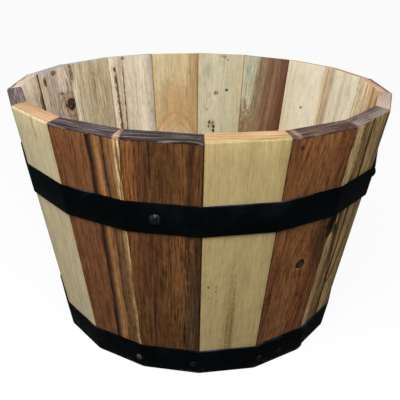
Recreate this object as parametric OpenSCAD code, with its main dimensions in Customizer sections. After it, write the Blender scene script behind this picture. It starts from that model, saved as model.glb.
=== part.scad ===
// Half-barrel planter: a ring of flat staves that lean outwards, held by two flat steel
// hoops, round a base of planks with drain holes.
//
// Millimetres, +Z up. The origin is on the floor, on the barrel's axis. A joint between
// two staves faces the front, -Y. Angles round the barrel are counted from the front
// towards +X, and the staves are numbered the same way.

/* [Barrel] */
// Width across the corners of the rim, outside
rim_across = 500; // [460:5:620]
// Width across the corners at the floor, outside
foot_across = 400; // [340:5:440]
// Height of the outer edge of the rim
rim_height = 318; // [300:2:460]

/* [Staves] */
// Thickness of a stave
stave_t = 18; // [14:1:24]
// Gap between the edges of two staves
joint_gap = 0.3; // [0.1:0.1:1]
// Radius of the outer edge of the rim
rim_round = 3; // [1:0.5:6]
// Radius of the inner edge of the rim
inner_round = 1.5; // [0.5:0.5:4]
// Width of the eased long edges of a stave
arris = 1.2; // [0.4:0.2:2.4]

/* [Hoops] */
// Width of the hoop strip
hoop_w = 38; // [28:1:48]
// Thickness of the hoop strip
hoop_t = 1.6; // [1:0.1:2.5]
// Gap between a hoop and the staves, and between its lapped ends
hoop_fit = 0.2; // [0.1:0.1:0.4]
// Height of the lower edge of the lower hoop
lower_hoop_z = 1; // [0.5:0.5:5]
// Height of the lower edge of the upper hoop
upper_hoop_z = 209; // [120:1:250]
// Distance of each lapped end from the bend beside it
lap_end = 10; // [8:0.5:16]

/* [Base] */
// Thickness of a base plank
base_t = 18; // [14:1:24]
// Height of the underside of the base planks
base_z = 12; // [10:1:15]
// Width of the three inner base planks, with their gaps
plank_w = 66; // [62:1:70]
// Gap between two base planks
plank_gap = 2; // [1:0.5:4]
// Gap between the base planks and the staves
base_fit = 0.5; // [0.3:0.1:1.5]
// Diameter of a drain hole
drain_d = 12; // [8:1:16]
// Distance of the front and rear drain holes from the axis
drain_y = 128; // [120:1:136]
// Thickness of a batten
batten_t = 10; // [6:0.5:11]
// Width of a batten
batten_w = 40; // [36:1:50]
// Distance of a batten's centre line from the axis
batten_y = 80; // [60:1:95]
// Clear length between a batten's corners and the staves
batten_end_gap = 8; // [4:1:20]

/* [Fasteners] */
// Diameter of an upper hoop screw's head
broad_head_d = 13; // [10:0.5:16]
// Height of an upper hoop screw's head
broad_head_h = 4.2; // [3:0.2:5]
// Diameter of an upper hoop screw's shank
broad_shank_d = 4.5; // [3.5:0.5:6]
// Length of an upper hoop screw in the wood
broad_bite = 14; // [11:0.5:17]
// Diameter of a lower hoop screw's head
small_head_d = 8.6; // [7:0.2:9]
// Height of a lower hoop screw's head
small_head_h = 2.8; // [2:0.2:3.5]
// Diameter of a lower hoop screw's shank
small_shank_d = 4; // [3:0.5:5]
// Length of a lower hoop screw in its base plank
small_bite = 22; // [15:1:26]
// Height at which the lower hoop screws enter the staves
small_screw_z = 17; // [15:0.5:20]
// Diameter of a nail's head
nail_head_d = 7; // [5:0.5:9]
// Thickness of a nail's head
nail_head_t = 1; // [0.6:0.2:1.4]
// Diameter of a nail
nail_d = 2.6; // [2:0.2:3.4]
// Length of a nail in its base plank
nail_bite = 13; // [8:1:15]
// Gap round every shank in its hole
pilot_fit = 0.1; // [0.05:0.05:0.3]

/* [Hidden] */
$fn = 48;
stave_count = 18;
plank_count = 5;

// Cuts run this far past the faces that they cut
over = 1;
// Larger than the barrel in every direction
reach = 2 * max(rim_across, rim_height);

// The ring of staves
pitch = 360 / stave_count;
half_pitch = pitch / 2;
foot_apothem = foot_across / 2 * cos(half_pitch);
rim_apothem = rim_across / 2 * cos(half_pitch);
// Lean of a stave's face, and of the corner line between two faces
lean = atan((rim_apothem - foot_apothem) / rim_height);
corner_lean = atan((rim_across - foot_across) / 2 / rim_height);
face_length = rim_height / cos(lean);

function stave_az(i) = (i - 0.5) * pitch;
function stave_at(az) = floor(az / pitch) + 1;
function face_apothem(z) = foot_apothem + z * tan(lean);
function inner_apothem(z) = face_apothem(z) - stave_t / cos(lean);
function facet_width(z) = 2 * face_apothem(z) * tan(half_pitch);

// Hoops: the stave that each pair of lapped ends lies on, and the rise to the outer layer
lower_lap = 2;
upper_lap = 4;
layer = hoop_t + hoop_fit;
// Each flat of a hoop runs this far past its bends, into its neighbours
bend_overlap = 0.05;

// Screws: their angles round the barrel. The rear ones repeat the front ones half a turn on.
// The three beside a bend stand off it by the head's radius and a margin.
bend_margin = 0.2;
bend_clear = asin((small_head_d / 2 + bend_margin) / face_apothem(small_screw_z));
front_screws = [-53, -pitch - bend_clear, -2, pitch + bend_clear, 1.5 * pitch, 2 * pitch + bend_clear];
lower_screws = concat(front_screws, [for (az = front_screws) az + 180]);
upper_screws = [-12, 68, 168, 248];
upper_screw_z = upper_hoop_z + hoop_w / 2 * cos(lean);

// Base planks, counted from the left, and their nails and drain holes
mid_plank = (plank_count + 1) / 2;
batten_half = sqrt(pow(inner_apothem(0), 2) - pow(batten_y + batten_w / 2, 2)) - batten_end_gap;
edge_plank_nail_x = (batten_half + (mid_plank - 1.5) * plank_w) / 2;
nail_dx = 10;
nail_dy = batten_w / 4;
drains = [[0, 0], [-plank_w, 0], [plank_w, 0], [0, -drain_y], [0, drain_y]];

function nail_x(plank) =
    let (side = sign(plank - mid_plank), is_edge = plank == 1 || plank == plank_count)
    is_edge ? side * edge_plank_nail_x : (plank - mid_plank) * plank_w;
nails = [for (plank = [1:plank_count], y = [-batten_y, batten_y], side = [-1, 1])
    [nail_x(plank) + side * nail_dx, y + side * nail_dy]];

stave_names = [for (i = [1:stave_count]) str("stave_", i < 10 ? "0" : "", i)];
plank_names = [for (i = [1:plank_count]) str("base_plank_", i)];

// Colours as photographed. Each letter is one stave, from stave 1: pale, red, tan or orange-brown.
stave_tones = "PRTTTPPRPTTTTTTPRO";
function stave_color(i) =
    let (tone = stave_tones[i - 1])
    tone == "P" ? [0.78, 0.70, 0.50]
    : tone == "R" ? [0.42, 0.25, 0.16]
    : tone == "O" ? [0.52, 0.34, 0.20]
    : [0.66, 0.54, 0.36];
base_color = [0.62, 0.50, 0.34];
hoop_color = [0.05, 0.05, 0.06];
steel_color = [0.20, 0.20, 0.21];

// Puts its children on the outer face of the wall at an angle: X to the right as seen from
// outside, Y into the wood, Z up the slope, from the middle of the face's foot.
module at_face(az) {
    rotate([0, 0, az]) translate([0, -foot_apothem, 0]) rotate([lean, 0, 0]) children();
}

// Puts a fastener in the wall: its Z runs into the wood, square to the face.
module driven_at(az, z, stand_off) {
    mid_az = stave_az(stave_at(az));
    at_face(mid_az)
        translate([face_apothem(z) * tan(az - mid_az), -stand_off, z / cos(lean)])
            rotate([-90, 0, 0]) children();
}

// The space between the joint planes on both sides of a stave, less a gap at each
module between_joints(az, gap = 0) {
    rotate([0, 0, az]) translate([0, -gap / sin(half_pitch), -over])
        linear_extrude(reach)
            polygon([[0, 0], [-reach * tan(half_pitch), -reach], [reach * tan(half_pitch), -reach]]);
}

// Removes a corner at the origin, between +X and +Y, down to a round edge
module corner_cut(r) {
    difference() {
        translate([-over, -over]) square(r + over);
        translate([r, r]) circle(r);
    }
}

// Side view of a stave: depth into the wood, then length up the slope. The foot is cut level
// with the floor and the top square to the board.
module stave_profile() {
    difference() {
        polygon([[0, 0], [stave_t, -stave_t * tan(lean)], [stave_t, face_length], [0, face_length]]);
        translate([0, face_length]) mirror([0, 1]) corner_cut(rim_round);
        translate([stave_t, face_length]) rotate(180) corner_cut(inner_round);
    }
}

// Square rod along the corner line between two staves, which eases both their edges
module joint_groove(az) {
    side = arris * sqrt(2);
    rotate([0, 0, az]) translate([0, -foot_across / 2, 0]) rotate([corner_lean, 0, 0])
        rotate([0, 0, 45]) translate([-side / 2, -side / 2, -stave_t])
            cube([side, side, face_length + 2 * stave_t]);
}

module pilots(azimuths, z, d, depth) {
    for (az = azimuths)
        driven_at(az, z, over) cylinder(d = d + 2 * pilot_fit, h = over + depth);
}

module stave(i) {
    az = stave_az(i);
    small_here = [for (a = lower_screws) if ((stave_at(a) - i) % stave_count == 0) a];
    broad_here = [for (a = upper_screws) if ((stave_at(a) - i) % stave_count == 0) a];
    color(stave_color(i)) difference() {
        intersection() {
            at_face(az) rotate([90, 0, 90])
                linear_extrude(rim_across * sin(half_pitch) + 2 * over, center = true) stave_profile();
            between_joints(az, joint_gap / 2);
        }
        for (side = [-1, 1]) joint_groove(az + side * half_pitch);
        pilots(small_here, small_screw_z, small_shank_d, stave_t + over);
        pilots(broad_here, upper_screw_z, broad_shank_d, broad_bite + pilot_fit);
    }
}

// One flat of a hoop, in front of a stave, from x0 to x1 across its face. Either end may be
// left to run on to the bend.
module hoop_flat(i, z, stand_off, x0 = -reach / 4, x1 = reach / 4) {
    intersection() {
        at_face(stave_az(i)) translate([x0, -stand_off - hoop_t, z / cos(lean)])
            cube([x1 - x0, hoop_t, hoop_w]);
        between_joints(stave_az(i), -bend_overlap);
    }
}

// The flat that climbs from the staves to the outer layer of the lap
module climbing_flat(i, z, half_flat) {
    climb = atan(layer / (2 * half_flat));
    intersection() {
        at_face(stave_az(i)) translate([-half_flat, -hoop_fit, z / cos(lean)]) rotate([0, 0, -climb])
            translate([-half_flat, -hoop_t, 0]) cube([4 * half_flat, hoop_t, hoop_w]);
        between_joints(stave_az(i), -bend_overlap);
    }
}

// A hoop is one strip. Its inner end lies on the stave of the lap. The strip goes once round,
// climbs by one layer over the last flat, covers its own start and ends past the next bend.
module hoop(z, lap, azimuths, screw_z, shank_d) {
    half_flat = facet_width(z + hoop_w / 2 * cos(lean)) / 2;
    difference() {
        union() {
            hoop_flat(lap, z, hoop_fit, x0 = -half_flat + lap_end);
            for (i = [lap + 1 : lap + stave_count - 2]) hoop_flat(i, z, hoop_fit);
            climbing_flat(lap - 1, z, half_flat);
            hoop_flat(lap, z, hoop_fit + layer);
            hoop_flat(lap + 1, z, hoop_fit + layer, x1 = -half_flat + lap_end);
        }
        for (az = azimuths)
            driven_at(az, screw_z, 3 * layer) cylinder(d = shank_d + 2 * pilot_fit, h = 4 * layer);
    }
}

module upper_hoop() {
    color(hoop_color) hoop(upper_hoop_z, upper_lap, upper_screws, upper_screw_z, broad_shank_d);
}

module lower_hoop() {
    color(hoop_color) hoop(lower_hoop_z, lower_lap, lower_screws, small_screw_z, small_shank_d);
}

// Screw with a domed head and a cross recess: the head's underside is at the origin, and the
// shank runs along +Z to a point
module domed_screw(head_d, head_h, shank_d, length) {
    rim_h = head_h * 0.3;
    dome_h = head_h - rim_h;
    dome_r = (pow(head_d / 2, 2) + pow(dome_h, 2)) / (2 * dome_h);
    recess = [head_d * 0.48, head_d * 0.12, head_h * 0.45];
    tip = shank_d * 1.2;
    difference() {
        union() {
            mirror([0, 0, 1]) rotate_extrude() intersection() {
                square([head_d / 2, head_h]);
                translate([0, head_h - dome_r]) circle(dome_r, $fn = 96);
            }
            translate([0, 0, -rim_h]) cylinder(d = shank_d, h = rim_h + length - tip);
            translate([0, 0, length - tip]) cylinder(d1 = shank_d, d2 = shank_d / 8, h = tip);
        }
        for (turn = [0, 90]) rotate(turn)
            translate([-recess.x / 2, -recess.y / 2, -head_h - over]) cube(recess + [0, 0, over]);
    }
}

// How far the outside of a hoop stands off the staves at a screw. A screw just past the lap's
// second bend still goes through both layers.
function into_lap(az, lap) = (az - (lap - 1) * pitch + 360) % 360;
function head_seat(az, lap) = into_lap(az, lap) < pitch + 2 * bend_clear ? 2 * layer : layer;

module upper_hoop_screws() {
    color(steel_color) for (az = upper_screws) {
        seat = head_seat(az, upper_lap);
        driven_at(az, upper_screw_z, seat)
            domed_screw(broad_head_d, broad_head_h, broad_shank_d, seat + broad_bite);
    }
}

module lower_hoop_screws() {
    color(steel_color) for (az = lower_screws) {
        seat = head_seat(az, lower_lap);
        driven_at(az, small_screw_z, seat)
            domed_screw(small_head_d, small_head_h, small_shank_d, seat + stave_t + base_fit + small_bite);
    }
}

// The frustum inside the staves, less a clearance
module inside_walls(clear) {
    intersection_for(i = [1:stave_count])
        at_face(stave_az(i)) translate([-reach, stave_t + clear, -reach]) cube(2 * reach);
}

module base_plank(i) {
    left = i == 1 ? -reach : (i - mid_plank - 0.5) * plank_w + plank_gap / 2;
    right = i == plank_count ? reach : (i - mid_plank + 0.5) * plank_w - plank_gap / 2;
    color(base_color) difference() {
        intersection() {
            translate([left, -reach, base_z]) cube([right - left, 2 * reach, base_t]);
            inside_walls(base_fit);
        }
        for (p = drains) if (p.x > left && p.x < right)
            translate([p.x, p.y, base_z - over]) cylinder(d = drain_d, h = base_t + 2 * over);
        for (p = nails) if (p.x > left && p.x < right)
            translate([p.x, p.y, base_z - over]) cylinder(d = nail_d + 2 * pilot_fit, h = over + nail_bite + pilot_fit);
        pilots(lower_screws, small_screw_z, small_shank_d, stave_t + base_fit + small_bite + pilot_fit);
    }
}

module batten(y) {
    color(base_color) difference() {
        translate([-batten_half, y - batten_w / 2, base_z - batten_t])
            cube([2 * batten_half, batten_w, batten_t]);
        for (p = nails) if (abs(p.y - y) < batten_w / 2)
            translate([p.x, p.y, base_z - batten_t - over])
                cylinder(d = nail_d + 2 * pilot_fit, h = batten_t + 2 * over);
    }
}

module front_batten() { batten(-batten_y); }

module rear_batten() { batten(batten_y); }

module batten_nails() {
    length = batten_t + nail_bite;
    tip = nail_d * 1.5;
    color(steel_color) for (p = nails) translate([p.x, p.y, base_z - batten_t]) {
        translate([0, 0, -nail_head_t]) cylinder(d = nail_head_d, h = nail_head_t);
        cylinder(d = nail_d, h = length - tip);
        translate([0, 0, length - tip]) cylinder(d1 = nail_d, d2 = nail_d / 6, h = tip);
    }
}

for (i = [1:stave_count])
    stave(i);
for (i = [1:plank_count])
    base_plank(i);
front_batten();
rear_batten();
upper_hoop();
lower_hoop();
upper_hoop_screws();
lower_hoop_screws();
batten_nails();
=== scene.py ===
"""Half-barrel planter: eighteen leaning staves round a planked base, held by two black steel hoops."""

import random
from math import asin, atan, atan2, cos, degrees, hypot, pi, radians, sin, sqrt, tan

import bpy
from mathutils import Matrix, Quaternion, Vector


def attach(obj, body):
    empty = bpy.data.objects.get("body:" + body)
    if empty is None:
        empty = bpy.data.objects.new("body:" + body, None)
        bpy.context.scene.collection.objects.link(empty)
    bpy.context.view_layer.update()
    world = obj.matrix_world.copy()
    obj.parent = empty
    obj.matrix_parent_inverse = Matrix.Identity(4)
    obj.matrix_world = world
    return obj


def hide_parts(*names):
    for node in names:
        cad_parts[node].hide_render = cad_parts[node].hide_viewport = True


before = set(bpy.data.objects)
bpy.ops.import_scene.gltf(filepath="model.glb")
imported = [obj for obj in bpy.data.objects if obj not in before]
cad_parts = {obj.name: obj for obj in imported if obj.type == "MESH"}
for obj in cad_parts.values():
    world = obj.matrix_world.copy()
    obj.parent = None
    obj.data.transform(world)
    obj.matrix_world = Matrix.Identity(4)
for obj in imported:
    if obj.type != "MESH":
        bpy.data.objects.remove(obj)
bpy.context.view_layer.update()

# ---------------- Camera
# The planter is seen from the front and from above the rim, as by someone who stands near it.
# The camera is almost level and has a moderate lens.
look_at = Vector((0, 0, 0.15))
camera_azimuth = radians(-1.1)
camera_elevation = radians(24.03)
camera_distance = 0.803
camera_roll = radians(0.91)

towards_camera = Vector((
    sin(camera_azimuth) * cos(camera_elevation),
    -cos(camera_azimuth) * cos(camera_elevation),
    sin(camera_elevation),
))
bpy.ops.object.camera_add(location=look_at + camera_distance * towards_camera)
camera = bpy.context.object
camera.rotation_mode = "QUATERNION"
facing = (-towards_camera).to_track_quat("-Z", "Y")
camera.rotation_quaternion = facing @ Quaternion((0, 0, 1), camera_roll)
camera.data.sensor_width = 36
camera.data.lens = 49.163
camera.data.shift_x = 0.00375
camera.data.shift_y = -0.00625
bpy.context.scene.camera = camera
bpy.context.scene.view_settings.view_transform = "Standard"

# ---------------- Studio
# A wide pale floor under an even white room, and one large soft lamp high up on the left of
# the camera. The floor shows white to the camera, and keeps the planter's shadow.
ambient_light = 0.36
floor_whiteness = 0.93
lamp_place = Vector((-0.16, -0.7, 0.95))
lamp_size = 0.6
lamp_watts = 13


class Wire:
    """A shader socket that can be reckoned with: a sum of wires and numbers adds its nodes."""

    def __init__(self, recipe, socket):
        self.recipe = recipe
        self.socket = socket

    def math(self, operation, *values):
        return self.recipe.node("Math", {"operation": operation}, dict(enumerate(values)))

    def __add__(self, other):
        return self.math("ADD", self, other)

    def __sub__(self, other):
        return self.math("SUBTRACT", self, other)

    def __rsub__(self, other):
        return self.math("SUBTRACT", other, self)

    def __mul__(self, other):
        return self.math("MULTIPLY", self, other)

    def __truediv__(self, other):
        return self.math("DIVIDE", self, other)

    __radd__ = __add__
    __rmul__ = __mul__

    def size(self):
        return self.math("ABSOLUTE", self)

    def root(self):
        return self.math("SQRT", self)

    def fading(self):
        """1 where the wire is 0, falling towards 0 as it grows."""
        return self.math("EXPONENT", self * -1)


class Recipe:
    """The nodes of one finish, or of the room's light."""

    def __init__(self, owner):
        owner.use_nodes = True
        self.owner = owner
        self.tree = owner.node_tree
        self.tree.nodes.clear()

    def node(self, kind, settings=None, values=None, out=0):
        """Adds a node. Its settings come first, then the value or wire of each socket."""
        made = self.tree.nodes.new("ShaderNode" + kind)
        for name, setting in (settings or {}).items():
            if name == "stops":
                self.set_stops(made.color_ramp.elements, setting)
            else:
                setattr(made, name, setting)
        for name, value in (values or {}).items():
            if isinstance(value, Wire):
                self.tree.links.new(value.socket, made.inputs[name])
            else:
                made.inputs[name].default_value = value
        return Wire(self, made.outputs[out]) if made.outputs else None

    @staticmethod
    def set_stops(elements, stops):
        while len(elements) < len(stops):
            elements.new(1)
        for element, (position, colour) in zip(elements, stops):
            element.position = position
            element.color = colour

    def place(self):
        """The point's place on the piece."""
        return self.node("TexCoord", out="Object")

    def axes(self, place):
        return [self.node("SeparateXYZ", values={0: place}, out=axis) for axis in range(3)]

    def noise(self, place, scale, detail=2, rough=0.5):
        values = {"Vector": place, "Scale": scale, "Detail": detail, "Roughness": rough}
        return self.node("TexNoise", values=values)

    def blended(self, first, second, share, how="MIX"):
        """A colour between two others."""
        settings = {"data_type": "RGBA", "blend_type": how}
        return self.node("Mix", settings, {0: share, 6: first, 7: second}, out=2)

    def scaled(self, colour, factor):
        """A colour made lighter or darker."""
        return self.node("VectorMath", {"operation": "SCALE"}, {0: colour, "Scale": factor})

    def between(self, value, low, high):
        """0 below low and 1 above high, with a soft step."""
        values = {"Value": value, "From Min": low, "From Max": high}
        return self.node("MapRange", {"interpolation_type": "SMOOTHSTEP"}, values)

    def seen_white(self):
        """1 for the rays that should meet a white background."""
        return self.node("LightPath", out="Is Camera Ray")

    def coat(self, colour, roughness, shine=0.5, metal=0, relief=None):
        """Ends a material with its surface. relief is its bumps' height, strength and depth."""
        values = {"Base Color": colour, "Roughness": roughness, "Metallic": metal}
        values["Specular IOR Level"] = shine
        if relief:
            bumps = dict(zip(("Height", "Strength", "Distance"), relief))
            values["Normal"] = self.node("Bump", values=bumps)
        self.node("OutputMaterial", values={"Surface": self.node("BsdfPrincipled", values=values)})
        return self.owner


WHITE = (1, 1, 1, 1)
FLOOR_GREY = (0.14, 0.14, 0.14, 1)
FLOOR_PALE = (0.95, 0.95, 0.95, 1)
floor_side = 24

room = bpy.data.worlds.new("white_room")
bpy.context.scene.world = room
room_light = Recipe(room)
room_strength = ambient_light + (1 - ambient_light) * room_light.seen_white()
room_glow = room_light.node("Background", values={"Color": WHITE, "Strength": room_strength})
room_light.node("OutputWorld", values={"Surface": room_glow})

bpy.ops.mesh.primitive_plane_add(size=floor_side)
floor = bpy.context.object
floor.name = "studio_floor"
paint = Recipe(bpy.data.materials.new("pale_floor"))
floor_tone = paint.blended(FLOOR_GREY, FLOOR_PALE, paint.seen_white())
matt_floor = paint.node("BsdfDiffuse", values={"Color": floor_tone})
white_floor = paint.node("Emission", values={"Color": WHITE})
white_share = paint.seen_white() * floor_whiteness
floor_mix = paint.node("MixShader", values={0: white_share, 1: matt_floor, 2: white_floor})
paint.node("OutputMaterial", values={"Surface": floor_mix})
floor.data.materials.append(paint.owner)

bpy.ops.object.light_add(type="AREA", location=lamp_place)
lamp = bpy.context.object
lamp.name = "soft_lamp"
lamp.data.size = lamp_size
lamp.data.energy = lamp_watts
lamp.visible_camera = False
lamp.rotation_mode = "QUATERNION"
lamp.rotation_quaternion = (look_at - lamp_place).to_track_quat("-Z", "Y")

# ---------------- Base planks
# Five sawn softwood boards lie from front to back inside the foot, 12 mm above the floor. Their
# ends are cut to the leaning wall, and five drain holes are drilled through them.
MM = 0.001
STAVE_COUNT = 18
PITCH = radians(360 / STAVE_COUNT)
rim_across = 500
foot_across = 400
rim_height = 318
stave_thick = 18
foot_apothem = foot_across / 2 * cos(PITCH / 2)
rim_apothem = rim_across / 2 * cos(PITCH / 2)
LEAN = atan((rim_apothem - foot_apothem) / rim_height)
stave_length = rim_height / cos(LEAN)

plank_count = 5
plank_pitch = 66
plank_gap = 2
plank_thick = 18
plank_low = 12
plank_clear = 0.5
drain_wide = 12
drain_places = [(0, 0), (-plank_pitch, 0), (plank_pitch, 0), (0, -128), (0, 128)]
saw_easing = 0.8
drill_over = 5
drill_sides = 40
WELD = 1e-7


def stave_angle(stave):
    """The direction that a stave faces, from the front towards +X."""
    return (stave - 0.5) * PITCH


def on_stave(stave):
    """From a stave's own place to the scene's: X across it, Y into the wood and Z up its slope."""
    foot = Matrix.Translation((0, -foot_apothem * MM, 0))
    return Matrix.Rotation(stave_angle(stave), 4, "Z") @ foot @ Matrix.Rotation(LEAN, 4, "X")


def start_cube(low, high):
    """A box between two corners, in millimetres."""
    middle = (Vector(low) + Vector(high)) / 2 * MM
    bpy.ops.mesh.primitive_cube_add(size=1, location=middle, scale=(Vector(high) - Vector(low)) * MM)
    bpy.ops.object.transform_apply()
    return bpy.context.object


def set_mode(mode):
    bpy.ops.object.mode_set(mode=mode)


def score(point, outward, **how):
    """Cuts every face that a plane meets."""
    bpy.ops.mesh.select_all(action="SELECT")
    bpy.ops.mesh.bisect(plane_co=point, plane_no=outward, threshold=WELD, **how)


def cut_away(point, outward):
    """Saws off all that lies beyond a plane, and closes the cut."""
    score(point, outward, use_fill=True, clear_outer=True)


def apply_modifier(piece, kind, **settings):
    """Adds a modifier, sets it and applies it at once."""
    bpy.ops.object.select_all(action="DESELECT")
    bpy.context.view_layer.objects.active = piece
    piece.select_set(True)
    modifier = piece.modifiers.new(kind.lower(), kind)
    for name, value in settings.items():
        setattr(modifier, name, value)
    bpy.ops.object.modifier_apply(modifier=modifier.name)


def ease_edges(piece, width, angle=35):
    """Takes the sharp edges off, as a plane or a file does, and shades the rest smooth."""
    sharp = radians(angle)
    apply_modifier(piece, "BEVEL", width=width * MM, segments=2, limit_method="ANGLE", angle_limit=sharp)
    bpy.ops.object.shade_smooth_by_angle(angle=sharp)


def remove_piece(piece):
    mesh = piece.data
    bpy.data.objects.remove(piece)
    bpy.data.meshes.remove(mesh)


def copy_piece(pattern):
    """A copy that has its own mesh."""
    piece = pattern.copy()
    piece.data = pattern.data.copy()
    bpy.context.collection.objects.link(piece)
    return piece


def start_rod(sides, wide, low, high, x=0, y=0):
    """An upright cylinder between two heights, in millimetres."""
    middle = (x * MM, y * MM, (low + high) / 2 * MM)
    size = {"radius": wide / 2 * MM, "depth": (high - low) * MM}
    bpy.ops.mesh.primitive_cylinder_add(vertices=sides, location=middle, **size)
    bpy.ops.object.transform_apply()
    return bpy.context.object


def drill(piece, places, wide, low, high):
    """Drills upright holes, with a cylinder for each."""
    for x, y in places:
        bit = start_rod(drill_sides, wide, low, high, x, y)
        apply_modifier(piece, "BOOLEAN", operation="DIFFERENCE", object=bit, solver="EXACT")
        remove_piece(bit)


def shade(red, green, blue):
    """A colour as it is seen on a screen, 0 to 255, as the shader needs it."""
    seen = [value / 255 for value in (red, green, blue)]
    return (*[s / 12.92 if s < 0.04045 else ((s + 0.055) / 1.055) ** 2.4 for s in seen], 1)


def dress(piece, material, node, name=None):
    """Gives a finished piece its name and its material, hangs it on the root body and hides the CAD node
    that it stands for.
    """
    piece.name = name or f"dressed_{node}"
    piece.data.materials.clear()
    piece.data.materials.append(material)
    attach(piece, "root")
    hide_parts(node)


BAND_REACH = 46
BAND_WANDER = 8
EASED_DARK = (0.58, 0.47, 0.36, 1)
REDDENED = (1, 0.93, 0.86, 1)


def wood(name, place, turn, bands, seen=1, drift=0, wander=2.5, streaks=0.5, fibres=0.5, mottle=0.4,
         clouds=0.12, flecks=0.4, veins=0, painted_foot_shade=0, knots=(), spots=(), arches=(), splits=(), end=None,
         top=0, seed=0, narrow=None, seams=(0, 0)):
    """Wood in a board's own frame: X across, Y into the board and Z along the grain.

    bands are the colours across the board, each by its millimetres from the middle, and drift turns
    them from the upright. seen is -1 where places are given as seen from the back. painted_foot_shade
    darkens the board towards its foot, as painted shade for the weaker light low on the wall. A knot
    is (x, z, radius, tallness). A spot is (x, z, half width, half height, colour, strength). An arch
    is (x, z, curve, width, colour, strength), and a split is (x, z, x, z, width). end is the colour of
    the sawn end's outer and inner part, the share of the outer one, how far the colour hangs over the
    edge, and for some where pale sapwood starts, where it stops and how strong it is. seams are the
    widths of the dark lines along the joints to the left and right, partly dirt and partly painted
    shade in the gaps, and a negative one leaves its joint lighter."""
    timber = Recipe(bpy.data.materials.new(name))
    between = timber.between
    board = {"Vector": timber.place(), "Location": place, "Rotation": turn, "Scale": (MM,) * 3}
    x, y, z = timber.axes(timber.node("Mapping", {"vector_type": "TEXTURE"}, board))
    across = x * seen

    def noise(a, b, c, detail=2, rough=0.5):
        return timber.noise(timber.node("CombineXYZ", values={0: a, 1: b, 2: c}), 1, detail, rough)

    def stain(tone, share, how="MIX"):
        """Lays a colour over the wood as it is so far."""
        nonlocal colour
        colour = timber.blended(colour, tone, share, how)

    def off_place(spot_x, spot_z, wide, high):
        return (across - spot_x) / wide, (z - spot_z) / high

    # The grain wanders a little, and it parts round each knot. In a noise, the numbers are its steps
    # to the millimetre, so those along the board are the smallest.
    lazy = noise(across * 0.014 + seed * 3.7, y * 0.014, z * 0.008 + seed)
    ragged = noise(across * 0.35 + seed * 5.1, y * 0.35, z * 0.16, detail=3)
    jag = ragged - 0.5
    sway = lazy - 0.5
    grain = across - (z - top) * drift + sway * (3 * wander) + y * 0.25
    for knot_x, knot_z, radius, _ in knots:
        aside, up = off_place(knot_x, knot_z, 2.6 * radius, 6.5 * radius)
        grain = grain - (across - knot_x) * (aside * aside + up * up).fading() * 0.8

    # Fibres two millimetres apart, wider streaks, short open pores, mottling and cloudy patches
    fine = noise(grain * 0.55 + seed * 7.3, y * 0.4, z * 0.024, detail=3, rough=0.7) - 0.5
    broad = noise(grain * 0.13 + seed * 2.9, y * 0.1, z * 0.006, detail=3, rough=0.62) - 0.5
    pores = noise(grain * 0.7 + seed, y * 0.7, z * 0.1, rough=0.6)
    blotch = noise(across * 0.2 + seed * 4.7, y * 0.2, z * 0.085, detail=4, rough=0.72) - 0.5
    cloud = noise(across * 0.05 + seed * 1.3, y * 0.05, z * 0.022, detail=3, rough=0.6) - 0.5

    stops = [((where + BAND_REACH) / (2 * BAND_REACH), shade(*tone)) for where, tone in bands.items()]
    band = (grain + jag * 1.2 + fine * BAND_WANDER + BAND_REACH) / (2 * BAND_REACH)
    colour = timber.node("ValToRGB", {"stops": stops}, {"Fac": band})
    open_pores = between(pores, 0.57, 0.68)
    darker = broad * (3.5 * streaks) + fine * (3.2 * fibres) + open_pores * (0.8 * flecks) - blotch * mottle
    stain(EASED_DARK, between(darker, 0, 1), "MULTIPLY")
    stain(REDDENED, between(cloud + broad * 0.5, -0.12, 0.16) * min(fibres, 1), "MULTIPLY")
    lightness = 1 + cloud * (4 * clouds) + blotch * (2.4 * mottle) - broad * (1.2 * streaks)
    # Towards the foot the wood is darkened as painted shade, for the weaker light low on the wall.
    lightness = lightness - fine * (3.4 * fibres) - open_pores * (0.3 * flecks) - between(z, top, 0) * painted_foot_shade
    height = fine * -0.5 - open_pores * 0.4
    if veins:
        vein = noise(grain * 0.16 + seed * 9.1, y * 0.1, z * 0.005, detail=1) - 0.5
        lightness = lightness - (vein * vein * 2600).fading() * veins

    for arch_x, arch_z, curve, width, tone, strength in arches:
        aside = across - arch_x
        level = z - arch_z + aside * aside * curve + sway * 14 + jag * 6
        line = level / ((aside.size() * (2 * abs(curve)) + 1) * width)
        stain(shade(*tone), (line * line).fading() * strength)

    # Small spots have a solid core, and large ones fade from the middle.
    for spot_x, spot_z, half_wide, half_high, tone, strength in spots:
        aside, up = off_place(spot_x, spot_z, half_wide, half_high)
        spread = aside * aside + up * up + jag * 2.8 + fine * 3
        core = 0.5 if half_high < 20 else 0
        stain(shade(*tone), (1 - between(spread, core, 1.3)) * strength)

    # A knot has a halo, a thin ring and a black heart with fine cracks.
    for knot_x, knot_z, radius, tallness in knots:
        aside, up = off_place(knot_x, knot_z, 1, tallness)
        out = (aside * aside + up * up).root() / radius + jag * 1.2
        stain(shade(150, 104, 62), (1 - between(out, 1, 2)) * 0.5)
        stain(shade(104, 78, 58), (1 - between((out - 2.1).size(), 0.1, 0.4)) * 0.4)
        checked = noise(across * 0.22 + z * 0.12 + seed, 0, z * 0.3 - across * 0.2) - 0.5
        cracks = (1 - between(checked.size(), 0.005, 0.02)) * (1 - between(out, 0.5, 0.8))
        heart = 1 - between(out, 0.9, 1.15)
        stain(timber.blended(shade(26, 18, 18), shade(140, 116, 96), cracks), heart * 0.95)
        height = height - heart * (1 + ragged * 2)

    for top_x, top_z, low_x, low_z, width in splits:
        line = top_x + (z - top_z) * ((low_x - top_x) / (low_z - top_z))
        off = (across - line + jag * 3.5 + sway * 2).size()
        inside = between(z, low_z - 6, low_z + 6) * (1 - between(z, top_z - 35, top_z))
        stained = (1 - between(off, width, width * 2.4)) * between(ragged, 0.42, 0.58) * inside
        stain(shade(146, 104, 76), stained * 0.8)
        crack = (1 - between(off, width * 0.3, width)) * inside
        stain(shade(62, 44, 34), crack * 0.9)
        height = height - crack * 4

    if narrow:
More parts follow.
